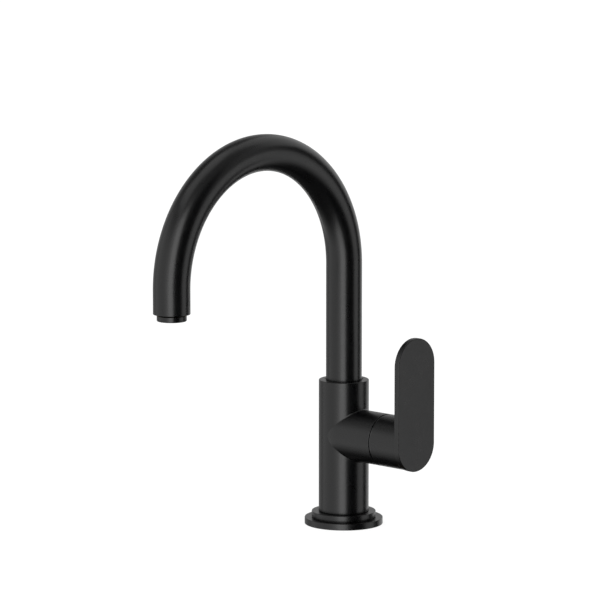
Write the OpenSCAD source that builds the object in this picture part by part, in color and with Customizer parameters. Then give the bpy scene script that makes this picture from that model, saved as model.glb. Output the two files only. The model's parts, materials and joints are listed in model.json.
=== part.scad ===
// Single-hole bathroom sink faucet with a gooseneck spout that swivels and a side lever.
// Millimetres. Origin: centre of the base's underside, on the deck. +Z is up.
// The spout points along -Y, towards the user, and the lever is on the +X side.

/* [Spout] */
// Outside diameter of the spout tube
tube_od = 25.4; // [23:0.1:26]
// Wall of the spout tube
tube_wall = 1.5; // [1.2:0.1:1.8]
// Distance from the body's axis to the outlet's axis
spout_reach = 171; // [130:1:210]
// Height above the deck at which the riser turns into the arch
riser_top = 186.5; // [165:0.5:240]
// Straight length of tube below the arch at the outlet
outlet_drop = 16.5; // [15:0.5:40]
// Depth of the socket in the body that holds the spout
socket_depth = 19.5; // [19:0.5:22]

/* [Body] */
// Outside diameter of the upright body
body_od = 35.5; // [35.2:0.1:40]
// Height of the brass between the side arm's bore and the spout's socket
core_roof = 6; // [5:0.5:20]
// Wall of the body around the waterway core
body_wall = 4.5; // [4:0.1:4.6]
// Rounding of the body's top edge
body_edge = 0.5; // [0.2:0.1:1.5]
// Diameter of the base's lower step, on the deck
base_od = 55.5; // [54:0.5:70]
// Diameter of the base's upper step
step_od = 45.5; // [42:0.5:50]
// Height of each of the base's two steps
step_h = 4.5; // [4.2:0.1:7]

/* [Side arm] */
// Height of the arm's axis above the deck
arm_height = 65; // [60:0.5:85]
// Distance from the body's axis to the arm's open end
arm_length = 40.2; // [39.6:0.1:42]
// How far the arm and the lever's hub stand proud of the body's side
arm_proud = 0.7; // [0.1:0.1:0.8]
// Depth of the lever's pivot inside the arm's open end
pivot_depth = 9.6; // [9:0.1:11]

/* [Lever] */
// Distance from the arm's open end to the lever's outer face
hub_length = 28.8; // [26.8:0.1:40]
// Thickness of the lever's paddle
paddle_t = 4; // [3:0.1:5]
// Height of the paddle's top above the arm's axis
paddle_up = 75.5; // [40:0.5:110]
// How far the paddle's edge stands proud of the hub
paddle_proud = 0.4; // [0.1:0.1:1]
// Rounding of the paddle's outer edge
paddle_edge = 0.9; // [0.3:0.1:1.8]
// Side of the square stem that the lever fits on
stem_w = 7; // [6:0.1:7.2]

/* [Under the deck] */
// Outside diameter of the threaded shank
shank_od = 30; // [28:0.1:30.4]
// Bore of the shank, for the two supply hoses
shank_bore = 24; // [23.5:0.1:25]
// Length of the shank below the deck
shank_drop = 58; // [50:1:80]
// Thickest deck that the lock nut clamps
deck_max = 32; // [10:1:36]
// Lock nut across its flats
nut_flats = 38; // [36:0.5:46]

/* [Aerator] */
// Diameter of the aerator's visible ring
aerator_od = 20.4; // [19.6:0.1:22]
// Length of the ring that shows below the tube
aerator_show = 4.6; // [3.5:0.1:8]

/* [Clearances] */
// Running gap between a turning piece and its bore
running = 0.15; // [0.1:0.01:0.2]
// Gap between threads, and between pieces that are pushed together
snug = 0.05; // [0.03:0.01:0.08]
// Gap between the arm's dome and the lever's hub
dome_gap = 0.2; // [0.15:0.05:0.4]

/* [Travel] */
// Swing of the spout to each side
spout_swing = 60; // [30:1:70]
// Turn of the lever from mixed water to hot, and to cold
mix_turn = 45; // [35:1:50]
// Tilt of the lever from shut to full flow
flow_tilt = 22; // [18:1:24]

/* [Hidden] */

$fn = 96;
// How far a cut runs past the face that it opens.
over = 1;

tube_r = tube_od / 2;
tube_ir = tube_r - tube_wall;
body_r = body_od / 2;
arm_r = body_r + arm_proud;
arm_blend = 6;
paddle_r = arm_r + paddle_proud;

// Arch of the spout, in the plane x = 0.
arch_r = spout_reach / 2;
outlet_z = riser_top - outlet_drop;

// Levels inside the body, from the side arm's bore up.
cavity_r = 13;
socket_r = tube_r + running;
core_top = arm_height + cavity_r + core_roof;
body_top = core_top + socket_depth;
bearing_h = 4;
bearing_t = 0.95;
bearing_r = socket_r + bearing_t;
bearing_inset = 0.25;
bore_r = body_r - body_wall;
core_r = bore_r - 2 * snug;

// The body stands on a ledge inside the base ring, and the shank screws into its foot.
ledge_h = 3;
thread_depth = 15;
shank_r = shank_od / 2;
shank_top = ledge_h + thread_depth;
shank_chamfer = 1;
seat_clear = 0.1;
base_edge = 0.4;

// Groove for the deck gasket, under the base ring.
gasket_ir = 20;
gasket_or = 25;
gasket_h = 2;

// Pieces that clamp the deck from below, from the deck down.
washer_r = 25;
rubber_t = 3;
steel_t = 2;
nut_h = 8;
rubber_z = -deck_max - rubber_t;
steel_z = rubber_z - steel_t;
nut_z = steel_z - nut_h;

// Cartridge, along the arm. Each x is a distance from the body's axis.
pivot_x = arm_length - pivot_depth;
lever_throw = 11;
ball_x = pivot_x - lever_throw;
ball_r = 2.4;
ball_clear = 0.2;
carrier_t = 6;
disc_t = 3;
seat_plate_t = 5;
face_gap = 0.02;
carrier_top = ball_x + ball_r;
carrier_x = carrier_top - carrier_t;
moving_x = carrier_x - disc_t;
fixed_x = moving_x - disc_t;
seat_x = fixed_x - seat_plate_t;

// Shell and its flange, the ring of stops and the nut that holds them down.
shell_r = cavity_r - 0.2;
shell_ir = 11.6;
shell_bore = 9.05;
flange_x = carrier_top + 0.2;
flange_t = 3.3;
flange_r = shell_ir - 0.3;
shell_step = flange_x + flange_t + 0.3;
shell_top = pivot_x + 2.4;
limit_t = 1.6;
nut_x = shell_top + limit_t + snug;
nut_t = 3;
nut_bore = 11.2;
thread_r = cavity_r + 1.3;
spigot_x = nut_x + nut_t + running;
neck_r = shell_bore - 0.25;
neck_top = pivot_x + 5.4;

// Tab on the rotator, and the window in the ring of stops that it turns in.
tab_r = 10.9;
tab_w = 3;
window_half = mix_turn + asin(tab_w / 2 / shell_bore) + 1;

// Ports, in the arm's own frame: x runs down and y to the back.
inlet_ring = 5.1;
inlet_angle = 42;
inlet_x = -inlet_ring * cos(inlet_angle);
inlet_y = inlet_ring * sin(inlet_angle);
inlet_r = 1.6;
outlet_x = 4.6;
outlet_r = 2;
seal_section = 0.6;
seal_inset = 0.25;
seal_depth = 2 * seal_section + face_gap;

// Waterways in the core.
feed_y = 5.5;
feed_r = 2;
riser_x = -7;
riser_r = 2.75;
hose_thread_r = 4.5;
hose_thread_depth = 12;

// Ceramic discs. The carrier takes the moving one from travel / 2 below the middle to travel / 2 above it.
travel = lever_throw * sin(flow_tilt);
fixed_r = 10.5;
moving_r = 9.2;
disc_shift = travel / 2;
pocket_r = 3;
pocket_top = 0.2 - pocket_r;
pocket_end = 10.2;
pocket_depth = 1.6;
peg_r = 1.1;
peg_ring = 10.2;
peg_h = 2.2;
peg_angles = [60, 180, 300];

// Tongue of the carrier, and the two rails of the rotator that it slides between.
tongue_half = 7;
tongue_x = carrier_x + 3;
rail_y = tongue_half + 0.2;
rail_end = 9.8;
rail_half = 6;
rail_x = tongue_x + 0.4;

// Ball joint between the arm's dome and the lever's hub.
dome_r = norm([pivot_depth, arm_r]);
hub_ball_r = dome_r + dome_gap;
hub_lip = 0.2;
hub_x = pivot_x + sqrt(pow(hub_ball_r, 2) - pow(arm_r - hub_lip, 2));
dome_hole_r = 12.2;
dome_top = pivot_x + sqrt(pow(dome_r, 2) - pow(dome_hole_r, 2));

// Stem, its pin and the screw that clamps the lever. Both end a set way behind the lever's outer face.
lever_face = arm_length + hub_length;
stem_back = 8;
screw_back = 13;
pin_r = 1.5;
stem_neck_r = 1.7;
stem_neck = 3.6;
stem_block_x = pivot_x - stem_neck;
stem_end = lever_face - stem_back;
stem_clear = 0.1;
slot_w = stem_w + 2 * stem_clear;
friction_ring_back = 2.6;
friction_ring_x = pivot_x - friction_ring_back;
friction_ring_r = 0.7;
friction_groove_r = shell_bore - 2 * snug - 2 * friction_ring_r;
screw_x = lever_face - screw_back;
screw_r = 2;
screw_l = 8;
socket_key_r = 1.15;
plug_t = 3;
plug_inset = 0.2;

// Spout's lower fitting, from its foot up. The tube is brazed over its upper part.
thrust_t = 1.2;
thrust_bore = 10.2;
foot_z = core_top + thrust_t + snug;
shoulder_drop = 0.5;
shoulder_z = body_top - bearing_h - shoulder_drop;
fitting_grip = 13;
fitting_top = shoulder_z + fitting_grip;
fitting_bore = 7;
fitting_flare = 3;
o_ring_r = 0.9;
o_ring_groove = 2 * o_ring_r - snug;
o_ring_half = o_ring_r + 0.25;
o_ring_rise = [2.8, 7.2];
o_ring_z = [for (rise = o_ring_rise) foot_z + rise];
core_ring_drop = 3;
core_ring_z = core_top - core_ring_drop;

// Screw at the back of the body, and the groove that its tip runs in.
lock_rise = 11;
lock_z = foot_z + lock_rise;
lock_pin_r = 0.8;
lock_groove = 1.5;
lock_clear = 0.2;
lock_half = spout_swing + asin(lock_pin_r / (tube_r - lock_groove)) + 2;

// Aerator, inside the tube's outlet.
ring_gap = 0.4;
ring_edge = 0.8;
aerator_mouth_r = 7.2;
aerator_core_r = 7.95;
aerator_thread_r = 9.2;
gasket_t = 1.6;
gasket_bore = 6.5;
screen_t = 0.5;
aerator_bottom = outlet_z - aerator_show;
thread_run = 9;
aerator_top = outlet_z + thread_run;
insert_inset = 0.3;
insert_bottom = outlet_z + insert_inset;
insert_lip = aerator_top + gasket_t;
lip_t = 1.4;
insert_top = insert_lip + lip_t;
insert_bore = 8;
mouth_depth = 2.2;
core_seat = aerator_bottom + mouth_depth;
screen_drop = 3;
screen_z = aerator_top - screen_drop;

black = "#2a2a2b";
brass = "#b98f45";
steel = "#b9bcbf";
rubber = "#1c1c1c";
white = "#e8e6df";
grey = "#8b8f92";
red = "firebrick";

// Places its children in the arm's frame: z runs out along the arm, x down and y to the back.
module on_arm() {
    translate([0, 0, arm_height]) rotate([0, 90, 0]) children();
}

// A round bar of radius r along z.
module bar(from, to, r) {
    translate([0, 0, from]) cylinder(h = to - from, r = r);
}

// A ring along z, with its outer and inner radius.
module ring(from, to, r, ir) {
    difference() {
        bar(from, to, r);
        bar(from - over, to + over, ir);
    }
}

// An O-ring: a ring of round section about the z axis.
module o_ring(centre_r, section_r) {
    rotate_extrude() translate([centre_r, 0]) circle(r = section_r);
}

// Half profile of a disc from the axis out, with its upper outer corner rounded.
module rounded_profile(r, h, edge) {
    square([r - edge, h]);
    square([r, h - edge]);
    translate([r - edge, h - edge]) circle(r = edge);
}

// A disc of height h with its upper edge rounded.
module rounded_disc(r, h, edge) {
    rotate_extrude() rounded_profile(r, h, edge);
}

// The solid that a round bar of radius r makes along the spout's centre line, from z = from at the riser
// to z = to at the outlet.
module spout_line(r, from, to) {
    bar(from, riser_top, r);
    translate([0, -arch_r, riser_top]) rotate([90, 0, 90])
        rotate_extrude(angle = 180) translate([arch_r, 0]) circle(r = r);
    translate([0, -spout_reach, 0]) bar(to, riser_top, r);
}

// Upright body and side arm, cast in one. The arm widens by a slight taper where it leaves the body.
module body() {
    color(black) difference() {
        union() {
            translate([0, 0, ledge_h]) rounded_disc(body_r, body_top - ledge_h, body_edge);
            on_arm() cylinder(h = arm_blend, r1 = body_r, r2 = arm_r);
            on_arm() bar(arm_blend, arm_length, arm_r);
        }
        bar(ledge_h - over, shank_top, shank_r + snug);
        bar(shank_top - over, core_top, bore_r);
        bar(core_top - over, body_top + over, socket_r);
        bar(body_top - bearing_h, body_top + over, bearing_r);
        on_arm() bar(0, arm_length + over, cavity_r);
        on_arm() bar(shell_top - over, arm_length + over, thread_r);
        at_lock_screw() bar(socket_r - over, body_r + over, screw_r);
    }
}

// Stepped ring on the deck. The body's foot stands inside it.
module base_ring() {
    color(black) difference() {
        union() {
            rounded_disc(base_od / 2, step_h, base_edge);
            rounded_disc(step_od / 2, 2 * step_h, base_edge);
        }
        bar(-over, 2 * step_h + over, shank_r + 2 * seat_clear);
        bar(ledge_h, 2 * step_h + over, body_r + seat_clear);
        ring(-over, gasket_h, gasket_or, gasket_ir);
    }
}

// Flat rubber seal between the base and the deck.
module deck_gasket() {
    color(rubber) ring(0, gasket_h - snug, gasket_or - snug, gasket_ir + snug);
}

// Threaded tube that goes through the deck. The hoses run up inside it.
module mounting_shank() {
    color(brass) difference() {
        rotate_extrude() polygon([
            [0, -shank_drop], [shank_r - shank_chamfer, -shank_drop], [shank_r, shank_chamfer - shank_drop],
            [shank_r, shank_top], [0, shank_top]
        ]);
        bar(-shank_drop - over, shank_top + over, shank_bore / 2);
    }
}

// Soft washer against the underside of the deck.
module rubber_washer() {
    color(rubber) ring(rubber_z, -deck_max, washer_r, shank_r + 0.4);
}

// Steel washer that spreads the nut's load.
module clamp_washer() {
    color(steel) ring(steel_z, rubber_z, washer_r, shank_r + 0.6);
}

// Hexagonal nut under the deck, with its lower corners turned off.
module lock_nut() {
    color(brass) difference() {
        translate([0, 0, nut_z]) intersection() {
            cylinder(h = nut_h, d = nut_flats / cos(30), $fn = 6);
            cylinder(h = nut_h, d1 = nut_flats + 1, d2 = nut_flats + 1 + 2 * nut_h);
        }
        bar(nut_z - over, nut_z + nut_h + over, shank_r + snug);
    }
}

// Brass core inside the body: two hose ports below, the cartridge's seat at the side, the spout's feed on top.
module waterway_core() {
    inlet_level = arm_height - inlet_x;
    outlet_level = arm_height - outlet_x;
    color(brass) difference() {
        bar(shank_top, core_top, core_r);
        on_arm() bar(seat_x, core_r + over, cavity_r);
        for (side = [-1, 1]) {
            translate([0, side * feed_y, 0]) {
                bar(shank_top - over, shank_top + hose_thread_depth, hose_thread_r);
                bar(shank_top, inlet_level, feed_r);
            }
            translate([0, side * feed_y, inlet_level]) sphere(r = feed_r);
            translate([0, side * inlet_y, inlet_level]) rotate([0, 90, 0]) bar(0, seat_x + over, inlet_r);
            translate([0, 0, inlet_level]) rotate([-90 * side, 0, 0]) bar(inlet_y - inlet_r, feed_y, inlet_r);
        }
        translate([0, 0, outlet_level]) rotate([0, 90, 0]) bar(riser_x, seat_x + over, outlet_r);
        translate([riser_x, 0, 0]) bar(outlet_level - outlet_r, core_top + over, riser_r);
        ring(core_ring_z - o_ring_half, core_ring_z + o_ring_half, core_r + over, core_r - 2 * o_ring_r);
    }
}

// Seal between the core and the body.
module core_o_ring() {
    color(rubber) translate([0, 0, core_ring_z]) o_ring(bore_r - snug - o_ring_r, o_ring_r);
}

// Plastic washer that the spout turns on.
module thrust_ring() {
    color(white) ring(core_top, core_top + thrust_t, socket_r - running, thrust_bore);
}

// Plastic bush round the tube at the body's mouth, just below the rim.
module bearing_ring() {
    color(rubber) ring(body_top - bearing_h, body_top - bearing_inset, bearing_r - snug, socket_r);
}

// Places its children along the screw at the back of the body: z runs from the body's axis to the back.
module at_lock_screw() {
    translate([0, 0, lock_z]) rotate([-90, 0, 0]) children();
}

// Grub screw at the back of the body. Its tip runs in the groove that limits the spout's swing.
module spout_lock_screw() {
    inset = 0.5;
    head = body_r - inset;
    shoulder = socket_r + 0.6;
    tip = tube_r - lock_groove + lock_clear;
    color(steel) at_lock_screw() difference() {
        union() {
            bar(shoulder, head, screw_r - snug);
            bar(tip, shoulder, lock_pin_r);
        }
        translate([0, 0, head - 1.5]) cylinder(h = 1.5 + over, r = socket_key_r, $fn = 6);
    }
}

// The two inlets and the outlet as bars along the arm, each widened by the same amount.
module ports(from, to, widen = 0) {
    for (side = [-1, 1]) translate([inlet_x, side * inlet_y, 0]) bar(from, to, inlet_r + widen);
    translate([outlet_x, 0, 0]) bar(from, to, outlet_r + widen);
}

// Places its children at each peg that keys the fixed disc.
module at_pegs() {
    for (a = peg_angles) rotate([0, 0, a]) translate([peg_ring, 0, 0]) children();
}

// Bottom plate of the cartridge, with a recess for a seal round each port.
module cartridge_base() {
    color(grey) on_arm() {
        difference() {
            bar(seat_x, fixed_x, shell_r);
            ports(seat_x - over, fixed_x + over);
            ports(seat_x - over, seat_x + seal_depth, 2 * seal_section + seal_inset + snug);
        }
        at_pegs() bar(fixed_x - over, fixed_x + peg_h, peg_r);
    }
}

// Three rubber rings between the cartridge and its seat.
module port_seals() {
    inset = seal_section + seal_inset;
    color(rubber) on_arm() translate([0, 0, seat_x + seal_section + face_gap / 2]) {
        for (side = [-1, 1]) translate([inlet_x, side * inlet_y, 0]) o_ring(inlet_r + inset, seal_section);
        translate([outlet_x, 0, 0]) o_ring(outlet_r + inset, seal_section);
    }
}

// Ceramic disc that stays still, keyed on the bottom plate's pegs.
module fixed_disc() {
    color(white) on_arm() difference() {
        bar(fixed_x, moving_x, fixed_r);
        ports(fixed_x - over, moving_x + over);
        at_pegs() bar(fixed_x - over, fixed_x + peg_h + 0.2, peg_r + 0.1);
    }
}

// Ceramic disc that slides and turns over the fixed one. Its pocket joins the inlets to the outlet.
module moving_disc() {
    color(white) on_arm() difference() {
        translate([disc_shift, 0, 0]) bar(moving_x + face_gap, carrier_x, moving_r);
        translate([0, 0, moving_x]) {
            for (x = [pocket_top + pocket_r, pocket_end - pocket_r])
                translate([x, 0, 0]) bar(-over, pocket_depth, pocket_r);
            translate([pocket_top + pocket_r, -pocket_r, -over])
                cube([pocket_end - pocket_top - 2 * pocket_r, 2 * pocket_r, pocket_depth + over]);
        }
    }
}

// Carrier that moves the upper disc. The stem's ball sits in its hole, and its tongue runs between two rails.
module disc_carrier() {
    color(grey) on_arm() difference() {
        translate([disc_shift, 0, 0]) {
            bar(carrier_x + face_gap, tongue_x, moving_r);
            intersection() {
                bar(tongue_x - over, carrier_top, moving_r);
                translate([-moving_r, -tongue_half, tongue_x - over])
                    cube([2 * moving_r, 2 * tongue_half, carrier_t]);
            }
        }
        bar(ball_x - ball_r - ball_clear, carrier_top + over, ball_r + ball_clear);
    }
}

// Plastic housing of the cartridge.
module cartridge_shell() {
    color(grey) on_arm() difference() {
        bar(fixed_x, shell_top, shell_r);
        bar(fixed_x - over, shell_step, shell_ir);
        bar(shell_step - over, shell_top + over, shell_bore);
    }
}

// Ring whose window stops the rotator's tab at either end of the mixing range.
module limit_ring() {
    color(red) on_arm() difference() {
        bar(shell_top, shell_top + limit_t, shell_r);
        bar(shell_top - over, shell_top + limit_t + over, shell_bore);
        translate([0, 0, shell_top - over]) rotate([0, 0, 90 - window_half])
            rotate_extrude(angle = 2 * window_half) square([tab_r + 0.4, limit_t + 2 * over]);
    }
}

// Brass nut that holds the cartridge down, with four spanner slots.
module retaining_nut() {
    spanner_w = 3;
    spanner_depth = 1.2;
    color(brass) on_arm() difference() {
        bar(nut_x, nut_x + nut_t, thread_r - 2 * snug);
        bar(nut_x - over, nut_x + nut_t + over, nut_bore);
        for (a = [0, 90]) rotate([0, 0, a])
            translate([-thread_r - over, -spanner_w / 2, nut_x + nut_t - spanner_depth])
                cube([2 * (thread_r + over), spanner_w, spanner_depth + over]);
    }
}

// Ball-shaped ring on the arm's end. The lever's hub tilts over it.
module dome_ring() {
    color(black) on_arm() difference() {
        union() {
            bar(spigot_x, arm_length + over, thread_r - 2 * snug);
            intersection() {
                translate([0, 0, pivot_x]) sphere(r = dome_r);
                bar(arm_length, dome_top, arm_r + over);
            }
        }
        bar(spigot_x - over, dome_top + over, dome_hole_r);
    }
}

// Fork that turns with the lever and carries its pivot. Its rails drive the carrier.
module rotator() {
    stem_slot_up = 8;
    stem_slot_down = 4;
    color(white) on_arm() difference() {
        union() {
            bar(flange_x, flange_x + flange_t, flange_r);
            bar(flange_x + flange_t - over, neck_top, neck_r);
            intersection() {
                bar(rail_x, flange_x + over, flange_r);
                for (side = [-1, 1])
                    translate([-rail_half, side > 0 ? rail_y : -rail_end, rail_x])
                        cube([2 * rail_half, rail_end - rail_y, flange_x - rail_x + over]);
            }
            translate([-tab_w / 2, neck_r - over, shell_top + 0.1])
                cube([tab_w, tab_r - neck_r + over, limit_t - 0.2]);
        }
        translate([-neck_r - over, -slot_w / 2, flange_x + flange_t])
            cube([2 * (neck_r + over), slot_w, neck_top]);
        translate([-stem_slot_up, -slot_w / 2, flange_x - over])
            cube([stem_slot_up + stem_slot_down, slot_w, flange_t + 2 * over]);
        translate([0, 0, friction_ring_x])
            ring(-friction_ring_r - 0.1, friction_ring_r + 0.1, neck_r + over, friction_groove_r);
        at_pivot() bar(-neck_r - over, neck_r + over, pin_r + face_gap);
    }
}

// Places its children on the lever's pivot: z runs to the front.
module at_pivot() {
    translate([0, 0, pivot_x]) rotate([90, 0, 0]) children();
}

// Friction ring between the rotator and the shell.
module rotator_o_ring() {
    color(rubber) on_arm() translate([0, 0, friction_ring_x])
        o_ring(shell_bore - snug - friction_ring_r, friction_ring_r);
}

// Steel pin that the stem tilts on.
module pivot_pin() {
    color(steel) on_arm() at_pivot() bar(1 - neck_r, neck_r - 1, pin_r);
}

// Square stem with a ball at its inner end.
module cartridge_stem() {
    color(steel) on_arm() difference() {
        union() {
            translate([0, 0, ball_x]) sphere(r = ball_r);
            bar(ball_x, stem_block_x + over, stem_neck_r);
            translate([-stem_w / 2, -stem_w / 2, stem_block_x]) cube([stem_w, stem_w, stem_end - stem_block_x]);
        }
        at_pivot() bar(-stem_w, stem_w, pin_r + snug);
    }
}

// Flat paddle with round ends, lying on z = 0 and reaching up the arm's frame, its outer edge rounded.
module paddle() {
    up = paddle_up - paddle_r;
    for (x = [0, -up]) translate([x, 0, 0]) rounded_disc(paddle_r, paddle_t, paddle_edge);
    translate([-up, 0, 0]) rotate([90, 0, 90]) linear_extrude(height = up) {
        rounded_profile(paddle_r, paddle_t, paddle_edge);
        mirror([1, 0]) rounded_profile(paddle_r, paddle_t, paddle_edge);
    }
}

// Places its children along the screw under the hub: z runs down from the arm's axis.
module at_lever_screw() {
    translate([0, 0, screw_x]) rotate([0, 90, 0]) children();
}

// Lever: a round hub that caps the arm, and the flat paddle that stands up from it.
module lever() {
    color(black) on_arm() difference() {
        union() {
            bar(hub_x, lever_face - paddle_t / 2, arm_r);
            translate([0, 0, lever_face - paddle_t]) paddle();
        }
        translate([0, 0, pivot_x]) sphere(r = hub_ball_r);
        translate([-slot_w / 2, -slot_w / 2, pivot_x]) cube([slot_w, slot_w, stem_end + 2 * stem_clear - pivot_x]);
        at_lever_screw() bar(0, arm_r + over, screw_r);
    }
}

// Grub screw under the hub that clamps the lever on the stem.
module lever_set_screw() {
    color(steel) on_arm() at_lever_screw() difference() {
        bar(stem_w / 2, stem_w / 2 + screw_l, screw_r - snug);
        translate([0, 0, stem_w / 2 + screw_l - 2]) cylinder(h = 2 + over, r = socket_key_r, $fn = 6);
    }
}

// Cap that hides the grub screw.
module screw_plug() {
    color(rubber) on_arm() at_lever_screw() bar(arm_r - plug_inset - plug_t, arm_r - plug_inset, screw_r - snug);
}

// Bent tube of the spout.
module spout_tube() {
    color(black) difference() {
        spout_line(tube_r, shoulder_z, outlet_z);
        spout_line(tube_ir, shoulder_z - over, outlet_z - over);
    }
}

// Brass fitting in the tube's lower end, with two seal grooves and the groove that limits the swing.
module spout_shank() {
    color(brass) difference() {
        union() {
            bar(foot_z, shoulder_z, tube_r);
            bar(shoulder_z - over, fitting_top, tube_ir - snug);
        }
        bar(foot_z - over, fitting_top + over, fitting_bore);
        translate([0, 0, foot_z - 0.01])
            cylinder(h = fitting_flare, r1 = fitting_bore + fitting_flare, r2 = fitting_bore);
        for (z = o_ring_z) ring(z - o_ring_half, z + o_ring_half, tube_r + over, tube_r - o_ring_groove);
        translate([0, 0, lock_z - lock_pin_r - lock_clear]) rotate([0, 0, 90 - lock_half])
            rotate_extrude(angle = 2 * lock_half) translate([tube_r - lock_groove, 0])
                square([lock_groove + over, 2 * (lock_pin_r + lock_clear)]);
    }
}

// Two seals between the spout's foot and the body.
module spout_o_rings() {
    color(rubber) for (z = o_ring_z) translate([0, 0, z]) o_ring(socket_r - snug - o_ring_r, o_ring_r);
}

// Places its children on the outlet's axis.
module at_outlet() {
    translate([0, -spout_reach, 0]) children();
}

// Threaded ring brazed inside the outlet. The aerator screws into it from below.
module outlet_insert() {
    color(brass) at_outlet() {
        ring(insert_bottom, insert_lip, tube_ir - snug, aerator_thread_r + snug);
        ring(insert_lip, insert_top, tube_ir - snug, insert_bore);
    }
}

// Aerator's housing: the ring that shows below the tube, and its thread above.
module aerator_housing() {
    shoulder = outlet_z - ring_gap;
    color(black) at_outlet() difference() {
        union() {
            translate([0, 0, shoulder]) mirror([0, 0, 1])
                rounded_disc(aerator_od / 2, aerator_show - ring_gap, ring_edge);
            bar(shoulder - over, aerator_top, aerator_thread_r);
        }
        bar(aerator_bottom - over, aerator_top, aerator_mouth_r);
        bar(core_seat, aerator_top + over, aerator_core_r + snug);
    }
}

// Places its children at each point of a honeycomb with the given pitch, inside a circle.
module honeycomb(pitch, limit) {
    n = ceil(limit / pitch) + 1;
    for (i = [-n : n], j = [-n : n]) {
        at = [pitch * (i + j / 2), pitch * j * sqrt(3) / 2, 0];
        if (norm(at) < limit) translate(at) children();
    }
}

// Disc of the aerator with a honeycomb of holes through it.
module pierced_disc(from, to, pitch, limit, hole_r) {
    difference() {
        bar(from, to, aerator_core_r);
        honeycomb(pitch, limit) bar(from - over, to + over, hole_r, $fn = 24);
    }
}

// Plastic flow straightener, seen from below as a honeycomb of holes.
module aerator_core() {
    color(grey) at_outlet() pierced_disc(core_seat, screen_z, 2.3, 6.6, 0.9);
}

// Fine steel screen above the straightener.
module aerator_screen() {
    color(steel) at_outlet() pierced_disc(screen_z, screen_z + screen_t, 1.75, 7, 0.6);
}

// Rubber seal between the aerator and its insert.
module aerator_gasket() {
    color(rubber) at_outlet() ring(aerator_top, insert_lip, aerator_thread_r, gasket_bore);
}

body();
base_ring();
deck_gasket();
mounting_shank();
rubber_washer();
clamp_washer();
lock_nut();
waterway_core();
core_o_ring();
thrust_ring();
bearing_ring();
spout_lock_screw();
cartridge_base();
port_seals();
fixed_disc();
cartridge_shell();
limit_ring();
retaining_nut();
dome_ring();
rotator();
rotator_o_ring();
pivot_pin();
moving_disc();
disc_carrier();
cartridge_stem();
lever();
lever_set_screw();
screw_plug();
spout_tube();
spout_shank();
spout_o_rings();
outlet_insert();
aerator_housing();
aerator_core();
aerator_screen();
aerator_gasket();
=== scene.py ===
# %% [markdown]
# # A matte black bathroom faucet
# The faucet stands on a white deck: a stepped base, an upright body with a side arm, a gooseneck
# spout and a flat lever. The construction is already done and packed, so this lesson dresses it:
# it sets the camera and the studio, gives each piece its finish, and rebuilds the pieces whose
# shape follows a rule as fine meshes.

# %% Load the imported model
import json
import math

import bmesh
import bpy
from mathutils import Matrix, Vector


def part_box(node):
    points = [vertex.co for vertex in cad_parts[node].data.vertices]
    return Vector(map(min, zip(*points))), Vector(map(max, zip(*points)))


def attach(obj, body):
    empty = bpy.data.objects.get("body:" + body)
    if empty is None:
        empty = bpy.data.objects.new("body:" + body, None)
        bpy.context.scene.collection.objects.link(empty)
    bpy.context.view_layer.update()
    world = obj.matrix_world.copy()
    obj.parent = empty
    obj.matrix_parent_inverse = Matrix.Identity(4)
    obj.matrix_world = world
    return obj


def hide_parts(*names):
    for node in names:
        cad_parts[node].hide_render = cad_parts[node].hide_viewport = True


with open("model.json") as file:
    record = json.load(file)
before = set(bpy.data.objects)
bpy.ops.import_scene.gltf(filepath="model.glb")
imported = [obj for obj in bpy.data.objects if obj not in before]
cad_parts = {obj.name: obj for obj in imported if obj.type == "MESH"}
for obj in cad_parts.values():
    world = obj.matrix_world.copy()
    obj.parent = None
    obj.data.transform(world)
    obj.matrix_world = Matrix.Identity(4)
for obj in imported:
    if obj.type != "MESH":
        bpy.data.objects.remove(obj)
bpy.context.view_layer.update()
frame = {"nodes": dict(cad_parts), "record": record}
scene = bpy.context.scene
scene.view_settings.view_transform = "Standard"

MM = 0.001

# %% [markdown]
# ## Sizes
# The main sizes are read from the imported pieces, so that nothing here has to be fitted by eye. A
# round tube's radius is half its box, and the arch of the spout follows from the reach. Only how
# far the aerator stands out below the tube's end can't be read from a box.

# %% Sizes of the visible pieces
AERATOR_SHOWS = 4.6 * MM

body_low, body_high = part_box("body")
tube_low, tube_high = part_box("spout_tube")
lever_low, lever_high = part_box("lever")

tube_r = tube_high.x
body_r = -body_low.x
arm_r = body_high.y
paddle_r = lever_high.y
spout_reach = -tube_low.y - tube_r
arch_r = spout_reach / 2
arch_z = tube_high.z - arch_r - tube_r
outlet_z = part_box("aerator_housing")[0].z + AERATOR_SHOWS
arm_z = lever_low.z + paddle_r
arm_end = body_high.x

print(f"tube radius {tube_r / MM:.2f} mm, reach {spout_reach / MM:.1f} mm, "
      f"arch springs at {arch_z / MM:.1f} mm")
print(f"body radius {body_r / MM:.2f} mm, arm axis at {arm_z / MM:.1f} mm, "
      f"arm end at {arm_end / MM:.1f} mm")

# %% [markdown]
# ## Camera
# The photograph was taken with a long lens, slightly from above and from the right of the spout.
# Azimuth 0 looks along +Y and 90 along -X. The camera is placed by where it looks and from how
# far, in metres, and no shift is needed. The lens is in millimetres on a sensor of 36 mm.

# %% Camera
VIEW_AZIMUTH = math.radians(43.418)
VIEW_ELEVATION = math.radians(8.953)
VIEW_DISTANCE = 2.852
LENS = 242.73
SENSOR_WIDTH = 36
AIM_RIGHT = -31.04 * MM
AIM_HEIGHT = 160.10 * MM

to_right = Vector((math.cos(VIEW_AZIMUTH), math.sin(VIEW_AZIMUTH), 0))
to_viewer = Vector((math.sin(VIEW_AZIMUTH), -math.cos(VIEW_AZIMUTH), 0))
looking = -to_viewer * math.cos(VIEW_ELEVATION) - Vector((0, 0, math.sin(VIEW_ELEVATION)))

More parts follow.
